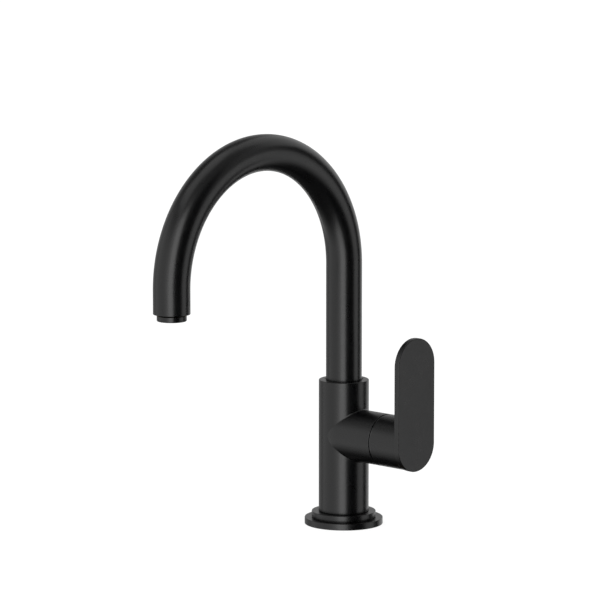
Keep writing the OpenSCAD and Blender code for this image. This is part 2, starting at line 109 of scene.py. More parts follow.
camera = bpy.data.objects.new("camera", bpy.data.cameras.new("camera"))
camera.data.sensor_width = SENSOR_WIDTH
camera.data.lens = LENS
camera.location = to_right * AIM_RIGHT + Vector((0, 0, AIM_HEIGHT)) - looking * VIEW_DISTANCE
camera.rotation_euler = looking.to_track_quat("-Z", "Y").to_euler()
scene.collection.objects.link(camera)
scene.camera = camera
print("camera at", [round(v, 3) for v in camera.location])

# %% [markdown]
# ## Helpers for nodes
# Materials, the world and Geometry Nodes are all trees of nodes. One helper adds a node, sets its
# settings and feeds its inputs, either with a value or with the output of another node. A Math
# node is added like any other. Colours are written as the hex values of a colour picker, which a
# second helper turns to linear light.

# %% Node helpers
MATH = "ShaderNodeMath"


def linear(hex_colour):
    """Linear RGBA of an sRGB hex colour such as #2b2b2c, by the curve of the sRGB standard."""
    parts = [int(hex_colour[i:i + 2], 16) / 255 for i in (1, 3, 5)]
    return tuple(c / 12.92 if c <= 0.04045 else ((c + 0.055) / 1.055) ** 2.4 for c in parts) + (1,)


def add(tree, kind, inputs=(), **settings):
    """Adds a node to a tree. Its inputs are a list in their order, or a dictionary by name or number.

    Each is a value, a socket to link, or a node, whose first output is then linked.
    """
    made = tree.nodes.new(kind)
    for name, value in settings.items():
        setattr(made, name, value)
    for key, value in inputs.items() if isinstance(inputs, dict) else enumerate(inputs):
        if isinstance(value, bpy.types.Node):
            value = value.outputs[0]
        if isinstance(value, bpy.types.NodeSocket):
            tree.links.new(value, made.inputs[key])
        else:
            made.inputs[key].default_value = value
    return made


print("black", [round(v, 4) for v in linear("#0d0d0e")])

# %% [markdown]
# ## Studio
# A black object is nearly all reflection, so its look is made by what stands around it. The room
# is a white dome. A tall soft box near the camera gives the bright stripe on every tube, a black
# card on the right gives the dark stripe beside it, and grey and black cards above and behind
# keep the top edges from glowing. The ground is dark, which keeps the undersides black.

# %% White room
world = bpy.data.worlds.new("studio")
scene.world = world
world.use_nodes = True
world.node_tree.nodes.clear()
white = add(world.node_tree, "ShaderNodeBackground", {"Color": linear("#ffffff"), "Strength": 1.0})
add(world.node_tree, "ShaderNodeOutputWorld", {"Surface": white})
print("room brightness", white.inputs["Strength"].default_value)

# %% [markdown]
# ## Patches of a dome
# Each card is a patch of a large dome, given by the angles in degrees that it fills as the faucet
# sees it. Azimuth 0 is towards the camera and positive to its right. Brightness 1 is the white
# room's, and it may change from a card's lower edge to its upper edge, for a soft horizon. A card
# nearer than another covers it. The cards show only in reflections: the camera doesn't see them,
# and they neither light the deck nor cast a shadow.

# %% Patches of the dome
DOME_RADIUS = 7.0
DOME_CENTRE = Vector((0, 0, 130 * MM))
CARD_SPACING = 0.1
PATCH_STEP = 10


def dome_point(azimuth, elevation, radius):
    """Point of the dome. Angles are in degrees, the azimuth from the camera."""
    turn, rise = math.radians(azimuth), math.radians(elevation)
    outward = to_viewer * math.cos(turn) + to_right * math.sin(turn)
    return DOME_CENTRE + (outward * math.cos(rise) + Vector((0, 0, math.sin(rise)))) * radius


def steps(low, high, step):
    """Evenly spaced values from low to high, about step apart."""
    count = max(1, round((high - low) / step))
    return [low + (high - low) * i / count for i in range(count + 1)]


def card(name, azimuths, elevations, low, high=None, nearer=0):
    """Card whose brightness goes from low at its lower edge to high at its upper edge."""
    radius = DOME_RADIUS - CARD_SPACING * nearer
    across, upward = steps(*azimuths, PATCH_STEP), steps(*elevations, PATCH_STEP)
    points = [dome_point(a, e, radius) for e in upward for a in across]
    wide = len(across)
    faces = [(r * wide + c, r * wide + c + 1, (r + 1) * wide + c + 1, (r + 1) * wide + c)
             for r in range(len(upward) - 1) for c in range(wide - 1)]
    mesh = bpy.data.meshes.new(name)
    mesh.from_pydata(points, [], faces)
    high = low if high is None else high
    share = [(e - upward[0]) / (upward[-1] - upward[0]) for e in upward for a in across]
    mesh.attributes.new("brightness", "FLOAT", "POINT").data.foreach_set(
        "value", [low + (high - low) * t for t in share])
    paper = bpy.data.materials.new(name)
    paper.use_nodes = True
    paper.node_tree.nodes.clear()
    level = add(paper.node_tree, "ShaderNodeAttribute", attribute_name="brightness")
    glow = add(paper.node_tree, "ShaderNodeEmission", {"Strength": level.outputs["Fac"]})
    add(paper.node_tree, "ShaderNodeOutputMaterial", {"Surface": glow})
    mesh.materials.append(paper)
    obj = bpy.data.objects.new(name, mesh)
    scene.collection.objects.link(obj)
    obj.visible_camera = False
    obj.visible_diffuse = False
    obj.visible_shadow = False
    print(name, "azimuth", azimuths, "elevation", elevations, "brightness", low, high)


print("straight ahead on the dome:", [round(v, 2) for v in dome_point(0, 0, DOME_RADIUS)])

# %% [markdown]
# ## Cards
# The ground is dark. On the left stands a pale wall that fades out above, and the two spill cards
# soften the step from it to the soft box. On the right a black card gives the dark stripe. Beyond
# it the white of the room shows between grey and black cards, and together they give the paddle
# its even tone. What stands behind and above shows in the flat rings and along the top of the arch.

# %% Cards
card("dark_ground", (-180, 180), (-90, -30), 0.05)
card("pale_wall_left", (-122, -16), (-26, 23), 0.9, nearer=1)
card("pale_wall_left_top", (-122, -16), (23, 48), 0.9, 0.12, nearer=1)
card("soft_horizon_left", (-122, -16), (-49, -26), 0.06, 0.9, nearer=1)
card("key_spill_wide", (-44, -16), (-40, 44), 1.04, nearer=2)
card("key_spill_near", (-33, -16), (-42, 45), 1.33, nearer=3)
card("soft_horizon_right", (60, 127), (-48, -24), 0.08, 0.9, nearer=1)
card("pale_card_upper_back", (106, 169), (26, 78), 0.76, nearer=1)
card("black_card_right", (9, 66), (-48, 60), 0.0, nearer=2)
card("grey_card_upper_right", (66, 103), (10, 59), 0.4, nearer=3)
card("black_card_side", (100, 124), (-24, 26), 0.0, nearer=4)
card("pale_card_right_back", (118, 170), (-20, 26), 0.84, nearer=1)
card("grey_card_back", (-192, -112), (-22, 12), 0.34, 0.56, nearer=5)
card("grey_card_back_top", (-192, -112), (12, 38), 0.56, 0.34, nearer=5)
card("grey_card_overhead", (-31, 108), (43, 77), 0.26, nearer=6)
card("dark_card_rear", (128, 158), (-55, -19), 0.08, nearer=7)
card("black_card_upper_left", (-152, -112), (28, 63), 0.26, 0.0, nearer=8)
card("dark_card_upper_back", (-194, -152), (36, 63), 0.24, 0.0, nearer=8)

# %% [markdown]
# ## Soft box
# The soft box is the only lamp. Its size follows from the angles that it fills, and its energy from
# its brightness and its size. Its light on the deck gives the faucet its shadow.

# %% Soft box
KEY_DISTANCE = 5.0
KEY_AZIMUTHS = (-20, 9)
KEY_ELEVATIONS = (-45, 47)
KEY_BRIGHTNESS = 1.66

key_middle = sum(KEY_AZIMUTHS) / 2
key_width = 2 * KEY_DISTANCE * math.tan(math.radians(KEY_AZIMUTHS[1] - key_middle))
key_low, key_high = (KEY_DISTANCE * math.tan(math.radians(e)) for e in KEY_ELEVATIONS)
key_data = bpy.data.lights.new("key_light", "AREA")
key_data.shape = "RECTANGLE"
key_data.size = key_width
key_data.size_y = key_high - key_low
key_data.energy = KEY_BRIGHTNESS * math.pi * key_data.size * key_data.size_y
key_light = bpy.data.objects.new("key_light", key_data)
scene.collection.objects.link(key_light)
key_light.location = dome_point(key_middle, 0, KEY_DISTANCE) + Vector((0, 0, (key_low + key_high) / 2))
towards_key = dome_point(key_middle, 0, 1) - DOME_CENTRE
key_light.rotation_euler = towards_key.to_track_quat("Z", "Y").to_euler()
key_light.visible_camera = False
print(f"key light {key_data.size:.2f} by {key_data.size_y:.2f} m, {key_data.energy:.0f} W")

# %% [markdown]
# ## Deck
# The faucet stands on a plain white deck, which also hides the shank and nut below it. The deck
# glows enough to look white to the camera, and a part of its white comes from the light that
# falls on it, so that it still takes the faucet's soft shadow. Reflections look past it to the
# dark ground, as in the photograph, where the underside of the arm is black.

# %% Deck
DECK_HALF = 4.0
DECK_GLOW = 0.86
DECK_COLOUR = "#7c7c7c"

deck_mesh = bpy.data.meshes.new("deck")
deck_corners = [(x * DECK_HALF, y * DECK_HALF, 0) for x, y in ((-1, -1), (1, -1), (1, 1), (-1, 1))]
deck_mesh.from_pydata(deck_corners, [], [(0, 1, 2, 3)])
deck = bpy.data.objects.new("deck", deck_mesh)
scene.collection.objects.link(deck)
deck.visible_glossy = False
deck.visible_shadow = False

stone = bpy.data.materials.new("white_deck")
stone.use_nodes = True
tree = stone.node_tree
tree.nodes.clear()
# Rays that look at the deck see its glow. Diffuse rays don't, so the glow lights nothing.
ray = add(tree, "ShaderNodeLightPath").outputs
seen = add(tree, MATH, [ray["Is Camera Ray"], ray["Is Glossy Ray"]], operation="ADD")
seen = add(tree, MATH, [seen, ray["Is Transmission Ray"]], operation="ADD", use_clamp=True)
level = add(tree, MATH, [seen, DECK_GLOW], operation="MULTIPLY")
glow = add(tree, "ShaderNodeEmission", {"Strength": level})
lit = add(tree, "ShaderNodeBsdfDiffuse", {"Color": linear(DECK_COLOUR)})
both = add(tree, "ShaderNodeAddShader", [glow, lit])
add(tree, "ShaderNodeOutputMaterial", {"Surface": both})
deck_mesh.materials.append(stone)
print("deck", 2 * DECK_HALF, "m wide, glow", DECK_GLOW)

# %% [markdown]
# ## How a finish is built
# Every finish here is one even material whose colour and roughness drift a little from place to
# place, as real ones do, and most have a fine relief. Image textures could give that too, but noise
# in Object coordinates has no seams and needs no unwrapping. Object coordinates are the same metres
# as the model, so a pattern's scale is one over its real size in metres.

# %% Shared material helpers
NOISE_LOW = 0.3
NOISE_HIGH = 0.7


def finish(name):
    """New material with an empty tree, and its Object coordinates."""
    made = bpy.data.materials.new(name)
    made.use_nodes = True
    made.node_tree.nodes.clear()
    return made, made.node_tree, add(made.node_tree, "ShaderNodeTexCoord").outputs["Object"]


def shaded(tree, where, colours, roughness, patch, relief=None, height=0.0, **values):
    """Shader and output. Two colours and two roughnesses change over patches of this size.

    Noise mostly stays between NOISE_LOW and NOISE_HIGH. Where relief is 1, it rises by height.
    """
    drift = add(tree, "ShaderNodeTexNoise", {"Vector": where, "Scale": 1 / patch}).outputs["Fac"]
    # A Mix node has sockets for numbers, vectors and colours. 6, 7 and output 2 are the colours'.
    first, second = linear(colours[0]), linear(colours[1])
    mixed = add(tree, "ShaderNodeMix", {0: drift, 6: first, 7: second}, data_type="RGBA")
    rough = add(tree, "ShaderNodeMapRange", {
        "Value": drift, "From Min": NOISE_LOW, "From Max": NOISE_HIGH,
        "To Min": roughness[0], "To Max": roughness[1]})
    shader = add(tree, "ShaderNodeBsdfPrincipled", {
        "Base Color": mixed.outputs[2], "Roughness": rough, **values})
    if relief is not None:
        bump = add(tree, "ShaderNodeBump", {"Height": relief, "Distance": height, "Strength": 1.0})
        tree.links.new(bump.outputs[0], shader.inputs["Normal"])
    add(tree, "ShaderNodeOutputMaterial", {"Surface": shader})


print("noise is taken to run from", NOISE_LOW, "to", NOISE_HIGH)

# %% [markdown]
# ## Powder coat
# The faucet is brass under a baked powder coat. The powder melts into a skin that is nearly pure
# black with a soft sheen, and leaves the faint unevenness called orange peel.

# %% Matte black powder coat
def matte_black_powder_coat():
    """Baked powder coat on brass. It is nearly pure black, with a soft sheen and orange peel."""
    made, tree, where = finish("matte_black_powder_coat")
    peel = add(tree, "ShaderNodeTexNoise", {"Vector": where, "Scale": 1 / (0.7 * MM)}).outputs["Fac"]
    shaded(tree, where, ("#020203", "#040405"), (0.27, 0.30), patch=6 * MM,
           relief=peel, height=0.003 * MM)
    return made


black_coat = matte_black_powder_coat()
print("made", black_coat.name)

# %% [markdown]
# ## Brass, steel, rubber, plastic and ceramic
# Most of what has these finishes is inside the faucet or under the deck. The fittings are brass or
# stainless steel from the lathe, the seals are moulded rubber, the cartridge is moulded plastic,
# and its two discs are ceramic, lapped so flat that they seal without a washer.

# %% The other finishes
def machined_brass():
    """Brass turned on a lathe. Rings from the tool run round it and stretch its highlights."""
    made, tree, where = finish("machined_brass")
    # Bands of a wave are 0.314 of its unit apart, here 0.28 mm. That is coarser than a tool's
    # marks of about 0.1 mm, so that they show.
    rings = add(tree, "ShaderNodeTexWave", {
        "Vector": where, "Scale": 1 / (0.9 * MM), "Distortion": 0.6},
        wave_type="BANDS", bands_direction="Z").outputs["Fac"]
    shaded(tree, where, ("#bd9750", "#c6a158"), (0.26, 0.31), patch=4 * MM,
           relief=rings, height=0.004 * MM, Metallic=1.0)
    return made


def turned_stainless():
    """Stainless steel bar, turned and left plain. It is bright, with a fine satin."""
    made, tree, where = finish("turned_stainless")
    satin = add(tree, "ShaderNodeTexNoise", {"Vector": where, "Scale": 1 / (0.4 * MM)}).outputs["Fac"]
    shaded(tree, where, ("#aeb1b4", "#c3c6c8"), (0.22, 0.34), patch=2 * MM,
           relief=satin, height=0.003 * MM, Metallic=1.0)
    return made


def black_rubber():
    """Moulded nitrile rubber. It is dull and dark grey, with a slight bloom."""
    made, tree, where = finish("nitrile_rubber")
    skin = add(tree, "ShaderNodeTexNoise", {"Vector": where, "Scale": 1 / (0.5 * MM)}).outputs["Fac"]
    shaded(tree, where, ("#171717", "#222221"), (0.62, 0.8), patch=3 * MM,
           relief=skin, height=0.02 * MM)
    return made


def moulded_plastic(name, first, second, roughness=0.42):
    """Moulded plastic. The spark-eroded grain of its tool softens its shine."""
    made, tree, where = finish(name)
    tool = add(tree, "ShaderNodeTexNoise", {"Vector": where, "Scale": 1 / (0.35 * MM)}).outputs["Fac"]
    shaded(tree, where, (first, second), (roughness - 0.04, roughness + 0.06), patch=5 * MM,
           relief=tool, height=0.01 * MM)
    return made


def lapped_ceramic():
    """Alumina disc, lapped flat. It is nearly mirror smooth, with the faint speckle of its grains."""
    made, tree, where = finish("lapped_ceramic")
    # The grains are drawn 0.3 mm across, far coarser than real ones, so that they show.
    shaded(tree, where, ("#e6ddca", "#f0e9da"), (0.12, 0.2), patch=0.3 * MM, IOR=1.76)
    return made


finishes = {
    "matte_black_paint": black_coat,
    "brass": machined_brass(),
    "stainless_steel": turned_stainless(),
    "black_rubber": black_rubber(),
    "white_plastic": moulded_plastic("white_acetal", "#e2e0d8", "#ebe9e2"),
    "black_plastic": moulded_plastic("black_acetal", "#121212", "#181818", 0.32),
    "grey_plastic": moulded_plastic("grey_polysulfone", "#85898c", "#93979a"),
    "red_plastic": moulded_plastic("red_nylon", "#96271f", "#a53128"),
    "ceramic": lapped_ceramic(),
}
print("finishes:", ", ".join(m.name for m in finishes.values()))

# %% [markdown]
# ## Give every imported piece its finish
# The record says which material slot each piece belongs to, so one loop does all of them. The
# pieces that are rebuilt below get theirs as they are made.

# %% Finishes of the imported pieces
for part in frame["record"]["subparts"]:
    piece = frame["nodes"][part["node"]]
    for place in piece.material_slots:
        place.material = finishes[part["material_slot"]]

# %% [markdown]
# ## Turned pieces
# Most of a faucet is turned on a lathe, so one helper turns a profile about an axis. The profile
# is a list of corners, each with the small rounding that a real edge has, because a perfectly
# sharp edge never catches the light. A Bevel modifier could round them too, but then every edge
# would get the same rounding.

# %% Rounded profile
def rounded(corners, segments=5):
    """Points of a closed profile. A corner is (along, radius, rounding), with lengths in metres."""
    points = []
    for index, (x, y, rounding) in enumerate(corners):
        here = Vector((x, y))
        if not rounding:
            points.append(here)
            continue
        before = (Vector(corners[index - 1][:2]) - here).normalized()
        after = (Vector(corners[(index + 1) % len(corners)][:2]) - here).normalized()
        half = before.angle(after) / 2
        middle = here + (before + after).normalized() * (rounding / math.sin(half))
        first = here + before * (rounding / math.tan(half)) - middle
        last = here + after * (rounding / math.tan(half)) - middle
        points += [middle + first.slerp(last, i / segments) * rounding for i in range(segments + 1)]
    return points


print("points of a square with one rounded corner:",
      len(rounded([(0, 0, 0), (0, 1, 0.1), (1, 1, 0), (1, 0, 0)])))

# %% [markdown]
# ## Lathe
# A profile is closed and turns once round its axis. A point on the axis becomes a single vertex.
# The lathe works along Z, and a frame then puts the result where it belongs, such as along the arm.

# %% Lathe
TURNED_SIDES = 128
ON_AXIS = 1e-7


def along_x(height):
    """Frame of the side arm at this height: the turned piece's axis runs along X."""
    lying = Matrix(((0, 0, 1, 0), (0, 1, 0, 0), (-1, 0, 0, 0), (0, 0, 0, 1)))
    return Matrix.Translation((0, 0, height)) @ lying


def turned(profile, sides=TURNED_SIDES, frame_at=None):
    """bmesh of a closed profile of (along, radius) points, turned about Z or another frame's Z."""
    work = bmesh.new()
    rings = []
    for along, radius in profile:
        if radius < ON_AXIS:
            rings.append([work.verts.new((0, 0, along))] * sides)
        else:
            angles = [math.tau * i / sides for i in range(sides)]
            rings.append([work.verts.new((radius * math.cos(a), radius * math.sin(a), along))
                          for a in angles])
    for ring, following in zip(rings, rings[1:] + rings[:1]):
        for i in range(sides):
            corners = [ring[i], ring[(i + 1) % sides], following[(i + 1) % sides], following[i]]
            corners = list(dict.fromkeys(corners))
            if len(corners) > 2:
                work.faces.new(corners)
    if frame_at:
        work.transform(frame_at)
    bmesh.ops.recalc_face_normals(work, faces=work.faces)
    return work


print("a turned piece has", TURNED_SIDES, "sides")

# %% [markdown]
# ## Cuts and polish
# A bmesh becomes a piece, and pieces are joined and cut as on the bench. A cut leaves points that
# nearly coincide and faces with many corners, so the mesh is cleaned after it: near points merge,
# large faces become triangles, and faces without width go. Polish gives smooth shading that leaves
# crisp edges crisp and flat faces flat.

# %% New piece, cuts and polish
SEAM = 2e-7
CUT_SEAM = 5 * SEAM


def new_piece(name, work, slot="matte_black_paint"):
    """Object made of a bmesh, with the finish of its slot."""
    mesh = bpy.data.meshes.new(name)
    work.to_mesh(mesh)
    work.free()
    mesh.materials.append(finishes[slot])
    piece = bpy.data.objects.new(name, mesh)
    scene.collection.objects.link(piece)
    return piece


def closed(piece, near=SEAM):
    """Cleans a mesh, turns its faces outward and counts its open edges. Points within near merge."""
    work = bmesh.new()
    work.from_mesh(piece.data)
    bmesh.ops.remove_doubles(work, verts=work.verts, dist=near)
    bmesh.ops.dissolve_degenerate(work, edges=work.edges, dist=near)
    bmesh.ops.triangulate(work, faces=[face for face in work.faces if len(face.verts) > 4])
    bmesh.ops.dissolve_degenerate(work, edges=work.edges, dist=near)
    bmesh.ops.recalc_face_normals(work, faces=work.faces)
    print("open edges in", piece.name + ":", sum(not edge.is_manifold for edge in work.edges))
    work.to_mesh(piece.data)
    work.free()


def combine(piece, operation, tools):
    """Joins or cuts a piece with the bmeshes in tools, and leaves a plain mesh."""
    for work in tools:
        other = new_piece("tool", work)
        change = piece.modifiers.new("change", "BOOLEAN")
        change.operation = operation
        change.solver = "EXACT"
        change.object = other
        ready = piece.evaluated_get(bpy.context.evaluated_depsgraph_get())
        result = bpy.data.meshes.new_from_object(ready)
        piece.modifiers.remove(change)
        piece.data = result
        bpy.data.objects.remove(other)
    closed(piece, CUT_SEAM)


def polish(piece, body, crisp=32):
    """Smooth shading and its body. Edges sharper than crisp degrees stay crisp."""
    piece.data.shade_smooth()
    piece.data.set_sharp_from_angle(angle=math.radians(crisp))
    flat = piece.modifiers.new("flat_faces", "WEIGHTED_NORMAL")
    flat.keep_sharp = True
    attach(piece, body)
    print(piece.name, len(piece.data.vertices), "points,", len(piece.data.polygons), "faces")


print("a cut merges points within", CUT_SEAM / MM, "mm")

# %% [markdown]
# ## Body and side arm
# The body is one casting: an upright tube and a side arm that grows out of it. In the photograph
# a thin light line runs along the seam between them, which is a small fillet in the inner corner.
# A ball that rolls along that corner and touches both tubes leaves exactly such a fillet. For
# each direction round the body there is one place of the ball, so the whole skin is a set of
# lines: down the body, round the ball and out along the arm. Two cylinders, joined and bevelled,
# could do it too, but a bevel is uneven where the seam runs nearly along the tubes.

# %% Sizes of the body's skin
FILLET = 1.0 * MM
ARM_BLEND = 6 * MM
BODY_EDGE = 0.5 * MM
ARM_EDGE = 0.45 * MM
SIDE_STEP = 2.5
EDGE_ROWS = 5
COLUMN_ROWS = 12
FILLET_ROWS = 6
ARM_ROWS = 10
ARM_SPREAD = 1.3
END_ROWS = 4
PARALLEL = 1e-4

body_top = body_high.z
body_foot = body_low.z
print(f"body from {body_foot / MM:.1f} to {body_top / MM:.1f} mm, arm radius {arm_r / MM:.2f} mm")


def arm_radius(x):
    """Radius of the arm at this distance from the body's axis, and how fast it grows there."""
    t = min(max(x / ARM_BLEND, 0), 1)
    grown = arm_r - body_r
    return body_r + grown * t * t * (3 - 2 * t), grown * 6 * t * (1 - t) / ARM_BLEND


# %% [markdown]
# ## Lines of the skin
# Every line is worked out above the arm's axis, and the part below is its mirror image. On the
# arm's side a line leaves the body where the ball touches it and goes on along the arm. At the
# back it only goes down.

# %% Lines of the skin
def ball_at(turn):
    """Directions in which the rolling ball touches body and arm, and the ball's centre."""
    x, y = (body_r + FILLET) * math.cos(turn), (body_r + FILLET) * math.sin(turn)
    radius, slope = arm_radius(x)
    reach = radius + FILLET * math.hypot(1, slope)
    z = math.sqrt(max(reach * reach - y * y, 0))
    on_body = Vector((math.cos(turn), math.sin(turn), 0))
    on_arm = Vector((-slope, y / reach, z / reach)).normalized()
    return Vector((x, y, z)), on_body, on_arm


def edge_arc(turn, flip):
    """Rounded upper edge of the body (or its plain lower edge), from the rim to the side."""
    out = Vector((math.cos(turn), math.sin(turn), 0))
    if flip < 0:
        return [out * body_r + Vector((0, 0, arm_z - body_foot))]
    points = []
    for i in range(EDGE_ROWS + 1):
        a = math.radians(90 - 90 / EDGE_ROWS * i)
        points.append(out * (body_r - BODY_EDGE + BODY_EDGE * math.cos(a))
                      + Vector((0, 0, body_top - arm_z - BODY_EDGE + BODY_EDGE * math.sin(a))))
    return points


def column(turn, flip, down_to):
    """Body line in this direction, from its edge to down_to above (or below) the arm's axis."""
    line = edge_arc(turn, flip)
    start = line[-1].z
    for i in range(1, COLUMN_ROWS + 1):
        line.append(Vector((line[-1].x, line[-1].y, start + (down_to - start) * i / COLUMN_ROWS)))
    return line


def skin_line(turn, flip):
    """One line of the skin: down the body, round the fillet and along the arm to its rounded end."""
    centre, on_body, on_arm = ball_at(turn)
    line = column(turn, flip, centre.z)
    if on_body.angle(on_arm) > PARALLEL:
        line += [centre - on_body.slerp(on_arm, i / FILLET_ROWS) * FILLET
                 for i in range(1, FILLET_ROWS + 1)]
    else:
        line += [centre - on_body * FILLET] * FILLET_ROWS
    start = line[-1].x
    around = Vector((0, line[-1].y, line[-1].z)).normalized()
    for i in range(1, ARM_ROWS + 1):
        x = start + (arm_end - ARM_EDGE - start) * (i / ARM_ROWS) ** ARM_SPREAD
        line.append(Vector((x, 0, 0)) + around * arm_radius(x)[0])
    for i in range(1, END_ROWS + 1):
        a = math.radians(90 / END_ROWS * i)
        line.append(Vector((arm_end - ARM_EDGE + ARM_EDGE * math.sin(a), 0, 0))
                    + around * (arm_r - ARM_EDGE + ARM_EDGE * math.cos(a)))
    return line


print("points of a line in front:", len(skin_line(0, 1)), "and at the back:", len(column(0, 1, 0)))

# %% [markdown]
# ## Closing the skin
# Faces join neighbouring lines, the halves merge, and flat faces close the top, the foot and the
# arm's end.

# %% Skin of the body
def patch(work, lines, flip):
    """Quads between neighbouring lines. Lines below the arm's axis are mirrored."""
    grid = [[work.verts.new((p.x, p.y, arm_z + flip * p.z)) for p in line] for line in lines]
    for left, right in zip(grid, grid[1:]):
        for i in range(len(left) - 1):
            work.faces.new((left[i], left[i + 1], right[i + 1], right[i]))


skin = bmesh.new()
front = [math.radians(-90 + SIDE_STEP * i) for i in range(round(180 / SIDE_STEP) + 1)]
back = [math.radians(90 + SIDE_STEP * i) for i in range(round(180 / SIDE_STEP) + 1)]
for flip in (1, -1):
    patch(skin, [skin_line(turn, flip) for turn in front], flip)
    patch(skin, [column(turn, flip, 0) for turn in back], flip)
bmesh.ops.remove_doubles(skin, verts=skin.verts, dist=SEAM)
bmesh.ops.dissolve_degenerate(skin, edges=skin.edges, dist=SEAM)
bmesh.ops.holes_fill(skin, edges=[edge for edge in skin.edges if edge.is_boundary], sides=0)
bmesh.ops.recalc_face_normals(skin, faces=skin.faces)
print("open edges in the skin:", sum(not edge.is_manifold for edge in skin.edges))
body_casting = new_piece("body_casting", skin)

# %% [markdown]
# ## Bores of the body
# Inside, the body is bored from three sides: for the shank and the waterway core from below, for
# the spout and its bearing from above, and for the cartridge from the arm's end. A small tapped
# hole at the back takes the screw that holds the spout. Each bore is a turned tool that is cut
# out of the casting, as on the real machine, and is given by its radius. Just above the base a
# shallow groove draws the thin dark line at the body's foot.

# %% Bores
SHANK_BORE = 15.05 * MM
SHANK_BORE_TOP = 18 * MM
CORE_BORE = 13.25 * MM
CORE_BORE_TOP = 84 * MM
SPOUT_CLEARANCE = 0.15 * MM
SPOUT_BORE = tube_r + SPOUT_CLEARANCE
BUSH_WALL = 0.95 * MM
BUSH_BORE = SPOUT_BORE + BUSH_WALL
BUSH_DEPTH = 4 * MM
CARTRIDGE_BORE = 13 * MM
CARTRIDGE_BORE_END = 33 * MM
NUT_BORE = 14.3 * MM
SCREW_HOLE = 2 * MM
SCREW_HEIGHT = 96.25 * MM
FOOT_GROOVE = 0.4 * MM
PAST = 1 * MM
BORE_SIDES = 96
SCREW_SIDES = 32

base_low, base_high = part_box("base_ring")
step_top = base_high.z

upright_bore = turned([
    (body_foot - PAST, 0), (body_foot - PAST, SHANK_BORE), (SHANK_BORE_TOP, SHANK_BORE),
    (SHANK_BORE_TOP, CORE_BORE), (CORE_BORE_TOP, CORE_BORE), (CORE_BORE_TOP, SPOUT_BORE),
    (body_top - BUSH_DEPTH, SPOUT_BORE), (body_top - BUSH_DEPTH, BUSH_BORE),
    (body_top + PAST, BUSH_BORE), (body_top + PAST, 0)], BORE_SIDES)
arm_bore = turned([
    (0, 0), (0, CARTRIDGE_BORE), (CARTRIDGE_BORE_END, CARTRIDGE_BORE),
    (CARTRIDGE_BORE_END, NUT_BORE), (arm_end + PAST, NUT_BORE), (arm_end + PAST, 0)],
    BORE_SIDES, along_x(arm_z))
along_y = Matrix.Translation((0, 0, SCREW_HEIGHT)) @ Matrix.Rotation(math.radians(-90), 4, "X")
screw_hole = turned([
    (SPOUT_BORE - PAST, 0), (SPOUT_BORE - PAST, SCREW_HOLE), (body_r + PAST, SCREW_HOLE),
    (body_r + PAST, 0)], SCREW_SIDES, along_y)
foot_groove = turned([
    (step_top - PAST, body_r - FOOT_GROOVE), (step_top - PAST, body_r + PAST),
    (step_top + FOOT_GROOVE, body_r + PAST), (step_top + FOOT_GROOVE, body_r),
    (step_top, body_r - FOOT_GROOVE)], round(360 / SIDE_STEP))
combine(body_casting, "DIFFERENCE", [upright_bore, arm_bore, screw_hole, foot_groove])
polish(body_casting, "fixed_body")
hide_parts("body")

# %% [markdown]
# ## Base ring
# The base is turned from one piece: a wide lower step, and an upper step that holds the body's
# foot. Its edges are broken by a small rounding. The photograph has a thin black line at the foot
# of the upper step, so a narrow undercut is turned there, which hides from every light. Below, a
# groove holds the flat seal. A stack of cylinders could do it too, but one profile leaves one
# closed skin.

# %% Base ring
STEP_HEIGHT = 4.5 * MM
STEP_RADIUS = 22.75 * MM
BASE_EDGE = 0.4 * MM
UNDERCUT_HEIGHT = 0.9 * MM
UNDERCUT_DEPTH = 1.5 * MM
SEAT_RADIUS = body_r + 0.1 * MM
SEAT_HEIGHT = 3 * MM
SHANK_HOLE = 15.2 * MM
SEAL_INNER = 20 * MM
SEAL_OUTER = 25 * MM
SEAL_HEIGHT = 2 * MM
BASE_SIDES = 192

base_r = min(base_high.x, -base_low.x)
undercut_top = STEP_HEIGHT + UNDERCUT_HEIGHT
undercut_r = STEP_RADIUS - UNDERCUT_DEPTH
base = new_piece("base_ring_turned", turned(rounded([
    (base_low.z, SHANK_HOLE, 0), (base_low.z, SEAL_INNER, 0), (SEAL_HEIGHT, SEAL_INNER, 0),
    (SEAL_HEIGHT, SEAL_OUTER, 0), (base_low.z, SEAL_OUTER, 0), (base_low.z, base_r, 0),
    (STEP_HEIGHT, base_r, BASE_EDGE), (STEP_HEIGHT, undercut_r, 0), (undercut_top, undercut_r, 0),
    (undercut_top, STEP_RADIUS, 0), (step_top, STEP_RADIUS, BASE_EDGE), (step_top, SEAT_RADIUS, 0),
    (SEAT_HEIGHT, SEAT_RADIUS, 0), (SEAT_HEIGHT, SHANK_HOLE, 0)]), BASE_SIDES))
polish(base, "fixed_body")
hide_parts("base_ring")

# %% [markdown]
# ## Dome ring and the dark line beside it
# Between arm and lever the photograph shows a thin dark line. It is the gap that lets the lever
# tilt: behind it, the ball-shaped ring starts in a narrow groove, too deep for light to leave it.
# A black ring painted on the arm could look alike from the front, but not from above.

# %% Dome ring
GROOVE_END = arm_end + 0.62 * MM
GROOVE_DEPTH = 1.6 * MM
SPIGOT_RADIUS = 14.2 * MM
DOME_BORE = 12.2 * MM
PIVOT_DEPTH = 9.6 * MM
DOME_ROWS = 16

